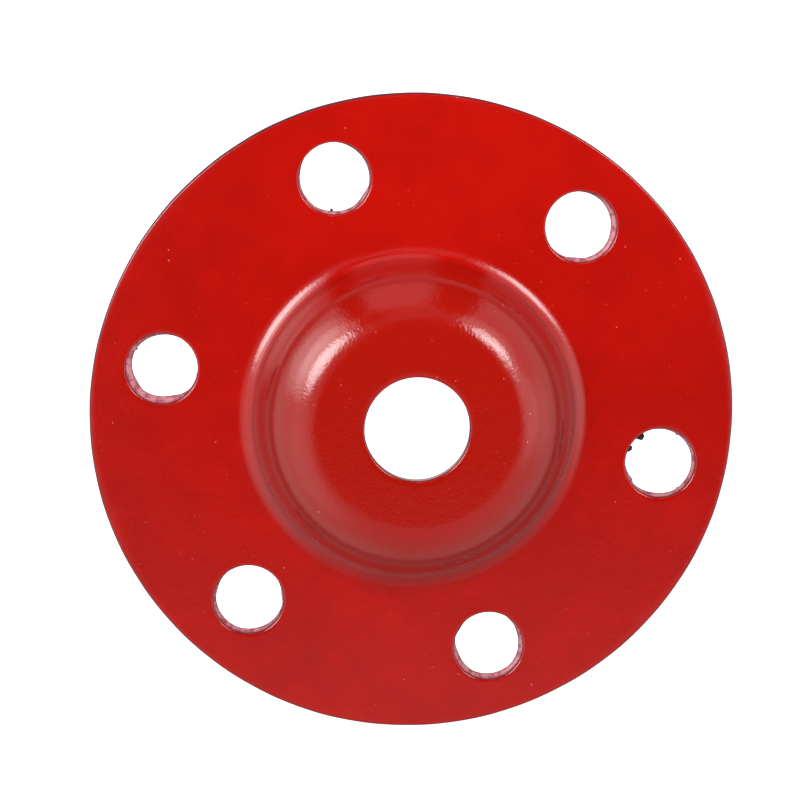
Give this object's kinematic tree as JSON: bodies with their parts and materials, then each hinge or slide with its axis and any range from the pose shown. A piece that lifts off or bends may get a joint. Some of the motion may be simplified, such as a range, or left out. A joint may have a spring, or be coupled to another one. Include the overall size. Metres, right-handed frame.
{
  "type": "carbide grit shaping disc",
  "caption": "Round pressed-steel shaping disc for an angle grinder: raised hub with a plain bore, through sight holes in the flange, and carbide grit brazed on the flat working face.",
  "frame": {"origin": "on the bore axis, in the plane of the tips of the carbide grains, which is the plane the disc lies on", "axes": "+Z is the bore axis and points from the working face to the hub, towards the grinder; +X passes through the centre of one sight hole"},
  "size_m": [0.1, 0.1, 0.0135],
  "materials": {
    "red_enamel": "glossy red baked enamel with a light orange peel, on pressed steel",
    "braze": "dull grey-brown nickel braze with a rough skin",
    "carbide": "dark grey crushed tungsten carbide, faceted, with a faint metallic glint"
  },
  "bodies": {
    "root": {"pressed_disc": "red_enamel", "braze_bed": "braze", "rim_grains": "carbide", "face_grains": "carbide", "hole_edge_grains": "carbide"}
  },
  "joints": []
}
